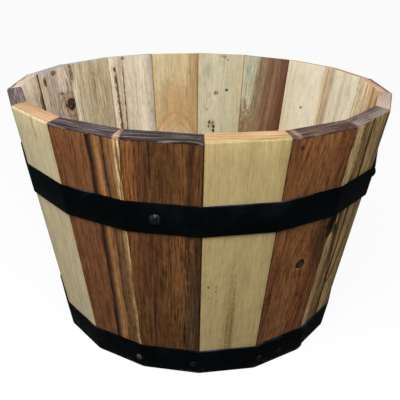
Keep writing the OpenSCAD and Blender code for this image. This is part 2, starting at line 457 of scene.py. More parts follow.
        # The joints and their edges are darkened: partly dirt, and partly painted shade in the gaps between
        # the staves.
        half_face = (narrow + z * sin(LEAN) - y * cos(LEAN)) * tan(PITCH / 2)
        seam = between(x, -1, 1) * (seams[1] - seams[0]) + seams[0]
        from_seam = half_face - x.size() - seam + jag * 1.2
        stain(EASED_DARK, (1 - between(from_seam, 0, 1.3)) * 0.8, "MULTIPLY")
        stain(shade(36, 24, 17), (1 - between(from_seam, -0.5, 0.3)) * 0.9)

    colour = timber.scaled(colour, lightness)
    roughness = 0.68 + fine * 0.2

    if end:
        # The rings show as lines along the sawn end. The colour of dark ends frays over the edge.
        outer_tone, inner_tone, outer_share, hang, *sapwood = end
        frayed_edge = hang > 1
        rings = noise(x * 0.022 + seed, y * 0.75 + sway * 7, seed, rough=0.6)
        crumbs = noise(x * 0.3 + seed, y * 0.9, z * 0.6, detail=3, rough=0.7)
        depth = y / stave_thick + (rings - 0.5) * 1.4 + sway
        inner = between(depth, outer_share - 0.15, outer_share + 0.15)
        end_colour = timber.blended(shade(*outer_tone), shade(*inner_tone), inner)
        lines = rings + (crumbs - 0.5) * 0.18
        end_colour = timber.blended(end_colour, shade(170, 158, 158), between(lines, 0.54, 0.64) * 0.25)
        dark_rings = 0.55 if frayed_edge else 0.2
        ringed = 1 + between(lines, 0.52, 0.62) * 0.2 - between(lines, 0.48, 0.4) * dark_rings
        end_colour = timber.scaled(end_colour, ringed)
        if sapwood:
            sap_x = across + (crumbs - 0.5) * 12
            past_start, past_stop = (between(sap_x, limit - 1.5, limit + 1.5) for limit in sapwood[:2])
            pale = past_start * (1 - past_stop) * sapwood[2]
            end_colour = timber.blended(end_colour, shade(200, 160, 134), pale)
        in_front = 1 - between(y, 1, 6)
        edge = top - hang * in_front - 1
        sawn = between(z + jag * (in_front * (3.2 if frayed_edge else 1)), edge - 0.4, edge + 0.4)
        stain(end_colour, sawn)
        if frayed_edge:
            # Dark ends get pale patches along the rounded outer arris: partly wear and partly a painted
            # highlight.
            arris = between(z, top - 2.6, top - 1.2) * (1 - between(y, 0.8, 2))
            wear_and_highlight_tone = tuple(min(1, 1.7 * channel) for channel in shade(*outer_tone))
            stain(wear_and_highlight_tone, arris * between(ragged, 0.38, 0.52) * 0.6)
        roughness = roughness + sawn * 0.1
        height = height + sawn * (rings + ragged * 0.8)

    return timber.coat(colour, roughness, shine=0.1, relief=(height, 0.5, 0.35 * MM))


along_y = (radians(-90), 0, 0)
sawn_pale = (196, 172, 128)
sawn_mid = (182, 152, 104)
sawn_warm = (170, 132, 84)
plank_bands = [
    {-40: sawn_mid, -12: sawn_pale, 10: sawn_mid, 38: sawn_warm},
    {-40: sawn_pale, -5: sawn_mid, 22: sawn_pale, 40: sawn_mid},
    {-40: sawn_warm, -15: sawn_mid, 20: sawn_pale, 40: sawn_mid},
    {-40: sawn_mid, 0: sawn_warm, 18: sawn_mid, 40: sawn_pale},
    {-40: sawn_pale, -20: sawn_mid, 12: sawn_warm, 40: sawn_mid},
]
plank_knots = [[], [(12, -60, 5, 1.3)], [(-14, 84, 6, 1.2)], [(9, 30, 4, 1.4)], []]

for number in range(1, plank_count + 1):
    shift = (number - (plank_count + 1) / 2) * plank_pitch
    half_plank = (plank_pitch - plank_gap) / 2
    reach_left = shift - half_plank if number > 1 else -rim_across / 2
    reach_right = shift + half_plank if number < plank_count else rim_across / 2
    low_corner = (reach_left, -rim_across / 2, plank_low)
    plank = start_cube(low_corner, (reach_right, rim_across / 2, plank_low + plank_thick))
    set_mode("EDIT")
    for stave in range(1, STAVE_COUNT + 1):
        wall = on_stave(stave)
        inner_face = wall @ Vector((0, (stave_thick + plank_clear) * MM, 0))
        cut_away(inner_face, wall.to_3x3() @ Vector((0, -1, 0)))
    set_mode("OBJECT")
    drains_here = [(x, y) for x, y in drain_places if reach_left < x < reach_right]
    drill(plank, drains_here, drain_wide, plank_low - drill_over, plank_low + plank_thick + drill_over)
    ease_edges(plank, saw_easing)
    plank_wood = wood(
        f"base_plank_{number}_wood",
        (shift * MM, 0, (plank_low + plank_thick) * MM),
        along_y,
        plank_bands[number - 1],
        knots=plank_knots[number - 1],
        streaks=0.75,
        fibres=0.8,
        seed=40 + number,
    )
    dress(plank, plank_wood, f"base_plank_{number}")

# ---------------- Battens
# Two rough battens of the same wood lie across the planks' undersides and hold them together.
batten_thick = 10
batten_wide = 40
batten_off = 80
batten_end_gap = 8
along_x = (radians(-90), 0, radians(-90))

batten_corner = batten_off + batten_wide / 2
inner_foot = foot_apothem - stave_thick / cos(LEAN)
batten_half = sqrt(inner_foot**2 - batten_corner**2) - batten_end_gap
for place_name, side in (("front", -1), ("rear", 1)):
    middle_y = side * batten_off
    batten = start_cube(
        (-batten_half, middle_y - batten_wide / 2, plank_low - batten_thick),
        (batten_half, middle_y + batten_wide / 2, plank_low),
    )
    ease_edges(batten, saw_easing)
    batten_wood = wood(
        f"{place_name}_batten_wood",
        (0, middle_y * MM, plank_low * MM),
        along_x,
        {-22: sawn_mid, -4: sawn_warm, 20: sawn_pale},
        knots=[(side * 8, side * 47, 4, 1.4)],
        streaks=0.8,
        fibres=0.8,
        seed=50 + side,
    )
    dress(batten, batten_wood, f"{place_name}_batten")

# ---------------- Nails
# Zinc-plated clout nails fix the battens, two at each crossing with a plank. Their round flat
# heads are on the underside.
nail_head_wide = 7
nail_head_thick = 1
nail_wide = 2.6
nail_bite = 13
nail_off_x = 10
nail_off_y = batten_wide / 4
nail_tip = 4
edge_nail_x = (batten_half + 1.5 * plank_pitch) / 2
nail_columns = [-edge_nail_x, -plank_pitch, 0, plank_pitch, edge_nail_x]


def stretch_top(steps):
    """Draws the selected end out in steps of (rise, scale), in millimetres."""
    for rise, scale in steps:
        bpy.ops.mesh.extrude_region_move(TRANSFORM_OT_translate={"value": (0, 0, rise * MM)})
        bpy.ops.transform.resize(value=(scale, scale, 1))


def select_parts(piece, kind, wanted):
    """Opens a piece for editing with only the wanted faces or edges selected."""
    set_mode("OBJECT")
    bpy.context.tool_settings.mesh_select_mode = (False, kind == "EDGE", kind == "FACE")
    for parts in (piece.data.vertices, piece.data.edges, piece.data.polygons):
        parts.foreach_set("select", [False] * len(parts))
    for part in piece.data.polygons if kind == "FACE" else piece.data.edges:
        part.select = wanted(part)
    set_mode("EDIT")


def select_level(piece, level):
    """Selects the level faces at a height, in millimetres."""
    at = level * MM
    select_parts(piece, "FACE", lambda face: abs(face.center.z - at) < 1e-6 and abs(face.normal.z) > 0.99)


batten_low = plank_low - batten_thick
nail = start_rod(24, nail_head_wide, batten_low - nail_head_thick, batten_low)
select_level(nail, batten_low)
bpy.ops.mesh.inset(thickness=(nail_head_wide - nail_wide) / 2 * MM)
stretch_top([(batten_thick + nail_bite - nail_tip, 1), (nail_tip, 0.15)])
set_mode("OBJECT")
ease_edges(nail, 0.2)

zinc = Recipe(bpy.data.materials.new("zinc_plate"))
zinc_mottle = zinc.noise(zinc.place(), 420, detail=3)
zinc_colour = zinc.blended(shade(150, 152, 156), shade(188, 190, 194), zinc_mottle)
zinc_plate = zinc.coat(zinc_colour, 0.3 + zinc_mottle * 0.25, metal=1)

nails = []
for column in nail_columns:
    for row in (-batten_off, batten_off):
        for side in (-1, 1):
            driven = copy_piece(nail)
            driven.location = ((column + side * nail_off_x) * MM, (row + side * nail_off_y) * MM, 0)
            nails.append(driven)
remove_piece(nail)
bpy.ops.object.select_all(action="DESELECT")
for driven in nails:
    driven.select_set(True)
bpy.context.view_layer.objects.active = nails[0]
bpy.ops.object.transform_apply()
bpy.ops.object.join()
dress(bpy.context.object, zinc_plate, "batten_nails")

# ---------------- Staves
# Eighteen planed boards of one mixed hardwood, pale sapwood beside red-brown heartwood, lean
# outwards with bevelled joints. Their feet are cut level and their tops square, and only the
# outer edge of the rim is rounded. No two boards look alike.
joint_gap = 0.16
rim_round = 3
inner_round = 1.5
long_arris = 1.2
corner_share = 0.25
blank_spare = 4
foot_spare = 6
length_cuts = 13
width_cuts = 4
close_by = 0.5
random.seed(18)
on_slope = Matrix.Translation((0, -foot_apothem * MM, 0)) @ Matrix.Rotation(LEAN, 4, "X")
off_slope = Matrix.Rotation(-LEAN, 4, "X") @ Matrix.Translation((0, foot_apothem * MM, 0))


def edge_place(piece, edge):
    """The middle and the direction of an edge, in the stave's own frame, in millimetres."""
    first, second = (off_slope @ piece.data.vertices[v].co / MM for v in edge.vertices)
    return (first + second) / 2, (second - first).normalized()


def stave_edge_weight(piece, edge):
    """How strongly an edge of a stave is eased, as a share of the rim's outer round."""
    middle, along = edge_place(piece, edge)
    at_top = abs(middle.z - stave_length) < close_by
    outside = abs(middle.y) < close_by
    inside = abs(middle.y - stave_thick) < close_by
    if at_top and abs(along.x) > 0.9 and (outside or inside):
        return 1 if outside else inner_round / rim_round
    half_face = (foot_apothem + middle.z * sin(LEAN) - middle.y * cos(LEAN)) * tan(PITCH / 2)
    at_joint = half_face - abs(middle.x) < 0.6
    if at_joint and abs(along.z) > 0.9 and (outside or inside):
        return long_arris / rim_round
    return corner_share if at_joint and at_top else 0


half_blank = rim_apothem * tan(PITCH / 2) + blank_spare / 2
blank = start_cube((-half_blank, 0, -foot_spare), (half_blank, stave_thick, stave_length))
blank.data.transform(on_slope)
set_mode("EDIT")
cut_away((0, 0, 0), (0, 0, -1))
for side in (-1, 1):
    joint_face = Vector((side * cos(PITCH / 2), sin(PITCH / 2), 0))
    cut_away(-joint_face * joint_gap / 2 * MM, joint_face)
for cut in range(1, length_cuts + 1):
    at = on_slope @ Vector((0, 0, stave_length * cut / (length_cuts + 1) * MM))
    score(at, on_slope.to_3x3() @ Vector((0, 0, 1)))
for cut in range(1, width_cuts + 1):
    share = cut / (width_cuts + 1) * 2 - 1
    score((0, 0, 0), (1, tan(share * PITCH / 2), 0))
set_mode("OBJECT")

weights = blank.data.attributes.new("bevel_weight_edge", "FLOAT", "EDGE")
for edge in blank.data.edges:
    weights.data[edge.index].value = stave_edge_weight(blank, edge)
apply_modifier(blank, "BEVEL", width=rim_round * MM, segments=4, limit_method="WEIGHT")
bpy.ops.object.shade_smooth_by_angle(angle=radians(40))

# Tones of the wood, as they show on a screen
IVORY = (220, 211, 186)
CREAM = (204, 184, 138)
LINEN = (222, 207, 166)
PALE_GREEN = (186, 180, 150)
HONEY = (198, 176, 134)
AMBER = (186, 144, 96)
STRAW = (184, 162, 118)
TAN = (160, 122, 82)
WHEAT = (146, 124, 86)
SANDY = (202, 170, 118)
GREY_TAN = (196, 178, 152)
MOSS = (140, 158, 112)
OCHRE = (138, 92, 54)
RUST = (118, 77, 48)
WALNUT = (94, 62, 33)
CHESTNUT = (94, 60, 36)
UMBER = (70, 46, 29)
BARK = (46, 32, 26)
SMOKE = (84, 70, 60)
COFFEE = (82, 52, 28)
COCOA = (98, 66, 36)
KNOT_BLACK = (26, 18, 16)
BUFF = (206, 192, 160)

# Sawn ends
PEACH_END = ((206, 184, 144), (202, 158, 116), 0.35, 0.3)
SAND_END = ((176, 144, 110), (170, 134, 98), 0.5, 0.3)
APRICOT_END = ((160, 134, 92), (176, 140, 98), 0.4, 0.3)
ROSE_END = ((186, 166, 150), (185, 158, 140), 0.5, 0.4)
PLUM_END = ((66, 57, 56), (68, 58, 60), 0.5, 2.8, 39.5, 60, 0.6)
DARK_END = ((52, 43, 38), (49, 42, 45), 0.5, 3, -60, -40, 0.6)
RUSSET_END = ((86, 65, 57), (78, 61, 56), 0.5, 2.6, -37, -31, 0.3)
DUSK_END = ((98, 86, 82), (118, 104, 100), 0.35, 1.6)
ASH_END = ((134, 118, 108), (106, 90, 86), 0.5, 1.4)
LILAC_END = ((182, 184, 190), (160, 160, 168), 0.5, 0.6)
PALE_END = ((206, 200, 190), (186, 178, 170), 0.5, 0.4)
EDGED_END = ((116, 84, 76), (206, 186, 166), 0.34, 0.8)
TWO_TONE_END = ((66, 54, 60), (214, 168, 130), 0.45, 0.6)

# The staves from the front towards +X
stave_looks = {
    1: dict(
        end=APRICOT_END, streaks=0.22, fibres=0.24, mottle=0.2, clouds=0.1, flecks=0.08, painted_foot_shade=0.05,
        bands={-43: (182, 161, 112), -20: (190, 168, 120), 5: (182, 162, 112), 24: (190, 168, 118),
               43: (178, 158, 108)},
        spots=[(0, 40, 5, 90, (148, 118, 76), 0.6), (-3, 110, 3.5, 85, (150, 120, 76), 0.5),
               (-9, 80, 3, 80, TAN, 0.2), (1, 70, 1.5, 80, (128, 100, 62), 0.6),
               (-5, 60, 1.2, 60, (132, 104, 66), 0.5), (-30, 140, 1.1, 1.6, UMBER, 0.9),
               (-21, 140, 0.9, 1.6, UMBER, 0.6), (-21, 133, 0.9, 1.8, UMBER, 0.6),
               (-33, 128, 1, 1.2, UMBER, 0.5), (-28, 124, 1.2, 1, UMBER, 0.5),
               (-19, 118, 1, 1.2, UMBER, 0.4), (-33, 158, 1.2, 1, UMBER, 0.4)],
    ),
    2: dict(
        seams=(0.4, 0), end=RUSSET_END, streaks=0.5, fibres=1, mottle=0.75, wander=6, veins=0.12,
        drift=0.05,
        bands={-45: (118, 77, 50), -34: (122, 78, 48), -20: (142, 95, 58), -8: (132, 86, 52),
               5: (140, 95, 58), 24: (132, 86, 50), 33: (108, 66, 42), 40: (128, 84, 52),
               46: (112, 72, 46)},
        knots=[(6, 152, 6.2, 0.95)],
        spots=[(-29, 308, 2.2, 3, BARK, 0.8), (29, 178, 13, 44, (74, 54, 30), 0.75),
               (8, 295, 34, 34, (150, 98, 58), 0.5), (7, 155, 4, 5, (16, 11, 9), 0.95),
               (9, 146, 1.1, 3.5, (132, 98, 70), 0.8), (2, 138, 5, 6, UMBER, 0.4),
               (40, 194, 6, 14, KNOT_BLACK, 0.95), (38, 110, 5, 90, CHESTNUT, 0.4),
               (-32, 90, 6, 110, (86, 50, 36), 0.5)],
        arches=[(4, 300, 0.12, 2.6, OCHRE, 0.55), (4, 278, 0.12, 2.4, CHESTNUT, 0.5)],
    ),
    3: dict(
        end=ASH_END, streaks=0.6, fibres=0.9, mottle=0.7, wander=3, veins=0.3,
        bands={-46: (176, 146, 102), -41: (210, 180, 130), -39: (124, 94, 60), -37: (214, 184, 134),
               -26: SANDY, -22: (140, 106, 68), -15: (152, 118, 76), -9: (176, 144, 96), -5: SANDY,
               -2: (160, 128, 84), 0: UMBER, 2.5: (60, 42, 28), 4: SANDY, 14: SANDY, 16: (150, 116, 76),
               18: SANDY, 28: SANDY, 30.5: (120, 90, 58), 32.5: (200, 170, 122), 38: (186, 156, 110),
               43: STRAW},
        spots=[(-35, 201, 9, 17, KNOT_BLACK, 1), (-38, 188, 5, 12, KNOT_BLACK, 0.9),
               (-24, 188, 5, 7, (40, 28, 22), 0.9), (-32, 290, 12, 50, (232, 198, 144), 0.9),
               (24, 240, 12, 90, (206, 176, 124), 0.5), (-19, 180, 7, 9, UMBER, 0.7),
               (-32, 110, 12, 40, OCHRE, 0.35), (22, 180, 3, 50, UMBER, 0.5), (-14, 145, 3, 50, UMBER, 0.5),
               (-6, 50, 8, 45, UMBER, 0.6)],
        arches=[(5, 95, -0.2, 2.6, UMBER, 0.8)],
    ),
    4: dict(end=ROSE_END, bands={-43: STRAW, -10: WHEAT, 14: TAN, 30: STRAW, 43: WHEAT}),
    5: dict(
        seams=(0, 0.9), end=TWO_TONE_END, streaks=0.35, fibres=0.7,
        # This spot lightens the top of the stave: painted light.
        spots=[(-30, 318, 34, 28, (240, 224, 186), 0.5)],
        bands={-43: (236, 220, 184), -20: (222, 202, 168), -8: (222, 202, 166), 0: (204, 172, 130),
               6: (220, 200, 164), 14: (206, 176, 136), 18: (218, 198, 162), 24: AMBER, 43: HONEY},
    ),
    6: dict(
        seams=(0.5, 0), end=PEACH_END, streaks=0.2, fibres=0.2, mottle=0.15,
        bands={-42: (206, 184, 154), -36: IVORY, -33: GREY_TAN, -30: (206, 186, 156), -25: (190, 162, 132),
               -20: GREY_TAN, -15: IVORY, 2: IVORY, 8: (208, 194, 162), 14: IVORY},
    ),
    7: dict(
        end=PEACH_END, streaks=0.12, fibres=0.15, mottle=0.1, flecks=0.2,
        bands={-37: IVORY, -35: BUFF, -32.5: IVORY, -28: BUFF, -25: IVORY, -19: (210, 198, 166), -15: IVORY,
               35: IVORY, 38: (208, 190, 158), 42: (196, 172, 138)},
        spots=[(-41, 305, 2.4, 3, BARK, 0.9), (1, 251, 2.2, 2.4, CHESTNUT, 0.9),
               (-14, 248, 2.5, 2, STRAW, 0.5)],
    ),
    8: dict(
        end=PLUM_END, streaks=0.5, fibres=0.4, mottle=0.3, drift=0.09,
        bands={-44: PALE_GREEN, -12: (178, 176, 150), -8: (164, 156, 130), -4: (136, 122, 92),
               8: (130, 110, 82), 14: (126, 98, 72), 20: (104, 76, 56), 26: (134, 102, 76),
               34: (114, 84, 62), 42: (100, 70, 52), 46: CHESTNUT},
        spots=[(-34, 196, 24, 42, (128, 98, 70), 0.9), (-30, 241, 3, 12, RUST, 0.6),
               (34, 230, 8, 60, CHESTNUT, 0.5), (-34, 300, 6, 12, (170, 176, 160), 0.5),
               (-20, 270, 7, 16, (160, 158, 134), 0.5)],
    ),
    9: dict(
        end=PEACH_END, streaks=0.2, fibres=0.2, mottle=0.2, clouds=0.1, flecks=0.2,
        bands={-43: PALE_GREEN, 0: (194, 186, 158), 20: PALE_GREEN, 43: (190, 178, 146)},
        spots=[(-21, 293, 3.5, 13, MOSS, 0.6), (-29, 290, 3, 6, MOSS, 0.45), (7, 316, 3, 2.5, UMBER, 0.5),
               (12, 312, 2, 2, UMBER, 0.5), (-6, 255, 4.5, 3.6, UMBER, 0.7), (12, 261, 3, 3, BARK, 0.9),
               (-12, 198, 8, 10, WHEAT, 0.5), (-16, 203, 2, 3, BARK, 0.9), (-9, 203, 2, 2, BARK, 0.8),
               (-17, 196, 1.8, 3, BARK, 0.8), (-11, 199, 1.8, 2, BARK, 0.7), (-8, 196, 2, 3, BARK, 1),
               (-8, 189, 2, 3.5, BARK, 1), (-21, 226, 2.5, 3, TAN, 0.6), (-17, 250, 2, 6, TAN, 0.5),
               (3, 318, 9, 3, WHEAT, 0.6)],
    ),
    10: dict(
        end=PEACH_END, streaks=0.3, fibres=0.22, mottle=0.2, flecks=0.2,
        bands={-43: HONEY, -39: (190, 150, 104), -34: HONEY, -26: (196, 182, 144), 0: (196, 178, 138),
               24: HONEY, 29: (186, 160, 122), 36: (182, 154, 116), 41: (166, 128, 86)},
        arches=[(-2, 221, 0.032, 2.4, (180, 124, 72), 0.7), (-2, 206, 0.04, 1.6, (184, 132, 82), 0.45)],
        spots=[(0, 236, 70, 44, (172, 142, 100), 0.6), (24, 290, 1.6, 5, WHEAT, 0.7),
               (20, 282, 1.4, 3, WHEAT, 0.6), (-4, 225, 34, 55, AMBER, 0.45)],
    ),
    11: dict(
        end=PALE_END, streaks=0.25, fibres=0.3, mottle=0.25,
        bands={-43: GREY_TAN, -38: IVORY, -22: (206, 194, 170), -18: (184, 166, 140), -15: (200, 186, 160),
               0: (210, 198, 174), 22: (220, 209, 186), 33: (210, 198, 176), 38: (186, 178, 168),
               40.5: (182, 176, 170), 42: STRAW},
        spots=[(-31, 301, 3, 4, (78, 48, 32), 1), (-15, 318, 3, 3, (92, 62, 48), 0.8)],
        splits=[(-30, 316, -26, 190, 2.2), (-16, 320, -17, 180, 1)],
    ),
    12: dict(
        end=LILAC_END, streaks=0.32, fibres=0.5, mottle=0.25, veins=0.2,
        bands={-43: SMOKE, -39: WHEAT, -34: (216, 206, 180), -26: (200, 188, 160), -12: (196, 182, 152),
               2: (184, 166, 134), 14: (194, 180, 150), 26: (186, 172, 140), 43: GREY_TAN},
        spots=[(5, 301, 3, 4, OCHRE, 0.5), (5, 284, 2, 8, OCHRE, 0.45),
               # The dark wedge at the left edge near the top is painted shadow in the open joint.
               (-38, 306, 4, 20, (64, 54, 46), 0.85)],
    ),
    13: dict(
        end=LILAC_END, streaks=0.4, fibres=0.6, mottle=0.35,
        bands={-43: (206, 190, 168), -10: (204, 188, 168), 6: (190, 178, 164), 30: (220, 206, 184),
               43: (208, 190, 164)},
        knots=[(28, 262, 14, 0.62)],
        spots=[(-27, 307, 4, 7, RUST, 1), (-3, 315, 6, 3.4, RUST, 0.9), (9, 282, 4, 2.4, SMOKE, 0.8),
               (32, 240, 10, 9, AMBER, 0.6), (12, 266, 4, 14, TAN, 0.5), (18, 246, 5, 6, TAN, 0.5)],
        arches=[(3, 283, 0.2, 1.4, SMOKE, 0.5)],
    ),
    14: dict(
        end=EDGED_END, streaks=0.2, fibres=0.5,
        # The dark band at the right edge is painted shadow in the open joint there.
        bands={-43: (248, 232, 204), -16: (238, 222, 192), 0: (246, 226, 196), 14: (216, 198, 170),
               26: (246, 226, 194), 35: GREY_TAN, 38.5: BARK},
        # The first spot lightens the top of the stave: painted light.
        spots=[(-10, 318, 44, 40, (255, 240, 214), 1), (6, 300, 7, 14, WHEAT, 0.3),
               (27, 281, 7, 12, (122, 86, 62), 0.8), (33, 276, 3, 9, UMBER, 0.8)],
    ),
    15: dict(
        end=DUSK_END, streaks=0.6, fibres=0.7,
        bands={-43: CHESTNUT, -20: RUST, 6: CHESTNUT, 30: UMBER},
    ),
    16: dict(
        end=SAND_END, streaks=0.15, fibres=0.3, mottle=0.2, clouds=0.1, flecks=0.1, painted_foot_shade=0.03,
        bands={30: LINEN, 43: CREAM},
        spots=[(6, 308, 3, 18, STRAW, 0.7), (-20, 230, 18, 40, (212, 202, 166), 0.4)],
    ),
    17: dict(
        seams=(0.7, -0.4), end=PLUM_END, streaks=0.45, fibres=0.75, mottle=0.6, drift=0.026,
        bands={-43: CHESTNUT, -38: RUST, 6: RUST, 8: (64, 43, 33), 9.5: (34, 26, 24), 11: (58, 40, 30),
               13: CHESTNUT, 15: RUST, 17: (150, 108, 66), 20: (166, 120, 76), 23: OCHRE,
               25.4: (98, 68, 42), 27: (38, 28, 24), 28.6: (100, 72, 46), 30: (116, 82, 52), 33: OCHRE,
               35: (110, 80, 52), 38: (150, 114, 74), 39.5: OCHRE, 40.6: (190, 164, 116),
               42.4: (196, 170, 122), 43: OCHRE},
        spots=[(17, 120, 5, 130, (158, 112, 72), 0.6), (28, 90, 7, 110, (104, 76, 50), 0.7),
               (37, 100, 3, 110, (146, 110, 72), 0.6), (38, 60, 5, 90, (140, 108, 70), 0.75)],
    ),
    18: dict(
        seams=(-0.3, 1), end=DARK_END, streaks=0.6, fibres=0.95, mottle=0.65, painted_foot_shade=0.04, veins=0.08,
        drift=0.03,
        bands={-39.6: CREAM, -38.4: (150, 104, 58), -37: UMBER, -35.5: (128, 84, 46), -27: (126, 82, 46),
               -22: CHESTNUT, -15: COFFEE, -12: CHESTNUT, -10: BARK, -8: CHESTNUT, 2: WALNUT,
               14: (100, 66, 36), 24: (102, 68, 38), 27: COFFEE, 30: (60, 42, 27), 33: COFFEE, 36: COCOA,
               39: UMBER, 40.5: COCOA, 42: UMBER},
        arches=[(2, 318, 0.14, 1.8, UMBER, 0.6), (0, 306, 0.35, 1.4, (116, 80, 46), 0.5),
                (0, 288, 0.4, 1.3, UMBER, 0.5), (1, 262, 0.45, 1.3, (114, 78, 44), 0.4)],
        spots=[(-32, 70, 12, 150, (96, 62, 36), 0.8), (4, 285, 16, 45, (78, 50, 26), 0.6),
               (12, 150, 16, 70, OCHRE, 0.3), (33, 80, 9, 110, (66, 54, 38), 0.55),
               (22, 70, 8, 80, (92, 72, 48), 0.4), (30, 196, 3, 9, (122, 80, 42), 0.6)],
    ),
}

seen_from_inside = range(5, 15)
for stave, look in stave_looks.items():
    piece = copy_piece(blank)
    shorter = 1 - random.uniform(0.1, 0.9) / stave_length
    thinner = Matrix.Translation((0, random.uniform(0, 0.35) * MM, 0))
    cut_short = on_slope @ thinner @ Matrix.Scale(shorter, 4, (0, 0, 1)) @ off_slope
    piece.data.transform(Matrix.Rotation(stave_angle(stave), 4, "Z") @ cut_short)
    stave_wood = wood(
        f"stave_{stave:02d}_wood",
        on_stave(stave).translation,
        (LEAN, 0, stave_angle(stave)),
        seen=-1 if stave in seen_from_inside else 1,
        top=stave_length,
        narrow=foot_apothem,
        seed=stave,
        **look,
    )
    dress(piece, stave_wood, f"stave_{stave:02d}")
remove_piece(blank)

# ---------------- Hoops
# Each hoop is one flat steel strip, 38 by 1.6 mm, bent to the eighteen faces. It goes once
# round, climbs over its own start and is screwed down. Both are painted satin black, and the
# lower one is scuffed along the edge that meets the ground.
strip_wide = 38
strip_thick = 1.6
strip_fit = 0.2
lap_end = 10
bend_round = 2.5
strip_layer = strip_thick + strip_fit


def hoop_radius(slope, stand_off):
    """The radius of a bend, at a length up the stave and a distance off it."""
    apothem = foot_apothem + slope * sin(LEAN) + stand_off * cos(LEAN)
    return apothem / cos(PITCH / 2)


def hoop_level(slope, stand_off):
    return slope * cos(LEAN) - stand_off * sin(LEAN)


def select_edges(piece, wanted):
    """Selects the edges whose two ends both pass a test."""
    corners = piece.data.vertices
    select_parts(piece, "EDGE", lambda edge: all(wanted(corners[v].co) for v in edge.vertices))


def is_towards(point, angle, slack=0.05):
    """Whether a point lies in a direction round the barrel, in degrees from the front."""
    off = degrees(atan2(point.x, -point.y)) - angle
    return abs((off + 180) % 360 - 180) < slack


def make_hoop(low_edge, lap):
    """Bends a hoop from a ring of flats: its lap starts on one stave and ends on the next."""
    start_slope = low_edge / cos(LEAN)
    end_slope = start_slope + strip_wide
    middle_slope = (start_slope + end_slope) / 2
    low_z = hoop_level(start_slope, strip_fit)
    high_z = hoop_level(end_slope, strip_fit)
    middle_z = (low_z + high_z) / 2 * MM
    bpy.ops.mesh.primitive_cone_add(
        vertices=STAVE_COUNT,
        radius1=hoop_radius(start_slope, strip_fit) * MM,
        radius2=hoop_radius(end_slope, strip_fit) * MM,
        depth=(high_z - low_z) * MM,
        end_fill_type="NOTHING",
        location=(0, 0, middle_z),
    )
    strip = bpy.context.object
    bpy.ops.object.transform_apply()

    # The strip is opened on the flat before the lap.
    bend = degrees(PITCH)
    select_parts(strip, "FACE", lambda face: is_towards(face.center, (lap - 1.5) * bend, slack=1))
    bpy.ops.mesh.delete(type="ONLY_FACE")

    # Its inner end is cut off 10 mm from the bend.
    select_parts(strip, "FACE", lambda face: is_towards(face.center, (lap - 0.5) * bend, slack=1))
    lap_place = on_stave(lap)
    mean_radius = hoop_radius(middle_slope, strip_fit)
    half_flat = mean_radius * sin(PITCH / 2)
    cut_at = lap_place @ Vector((-(half_flat - lap_end) * MM, 0, 0))
    across_lap = lap_place.to_3x3() @ Vector((-1, 0, 0))
    bpy.ops.mesh.bisect(plane_co=cut_at, plane_no=across_lap, clear_outer=True, threshold=WELD)

    # Its other end is drawn on: over the climbing flat, over the lap and past the next bend.
    start_bend = (lap - 2) * bend
    outer_radius = hoop_radius(middle_slope, strip_fit + strip_layer)
    lift = outer_radius / mean_radius
    for flat in range(2):
        from_bend = start_bend + flat * bend
        select_edges(strip, lambda point: is_towards(point, from_bend))
        bpy.ops.mesh.extrude_edges_move()
        bpy.ops.transform.rotate(value=-PITCH, orient_axis="Z", center_override=(0, 0, 0))
        if flat == 0:
            bpy.ops.transform.resize(value=(lift, lift, 1), center_override=(0, 0, 0))
            bpy.ops.transform.translate(value=(0, 0, -strip_layer * sin(LEAN) * MM))
    last_bend = start_bend + 2 * bend
    beyond = on_stave(lap + 1).to_3x3() @ Vector((1, 0, 0))
    radius_limit = (mean_radius + outer_radius) / 2 * MM

    def on_outer_layer(point):
        limit = radius_limit + (point.z - middle_z) * tan(LEAN)
        return is_towards(point, last_bend) and hypot(point.x, point.y) > limit

    select_edges(strip, on_outer_layer)
    bpy.ops.mesh.extrude_edges_move()
    bpy.ops.transform.translate(value=beyond * lap_end * MM)

    # The bends get their radius, and the strip its thickness and eased edges.
    bends = [number * bend for number in range(STAVE_COUNT)]
    select_edges(strip, lambda point: any(is_towards(point, angle, slack=0.2) for angle in bends))
    bpy.ops.mesh.bevel(offset=bend_round * MM, segments=3, affect="EDGES")
    bpy.ops.mesh.select_all(action="SELECT")
    bpy.ops.mesh.normals_make_consistent(inside=False)
    set_mode("OBJECT")
    first = strip.data.polygons[0]
    if first.normal.dot(Vector((first.center.x, first.center.y, 0))) < 0:
        set_mode("EDIT")
        bpy.ops.mesh.flip_normals()
        set_mode("OBJECT")
    apply_modifier(strip, "SOLIDIFY", thickness=strip_thick * MM, offset=1, use_even_offset=True)
    ease_edges(strip, 0.3, angle=50)
    return strip


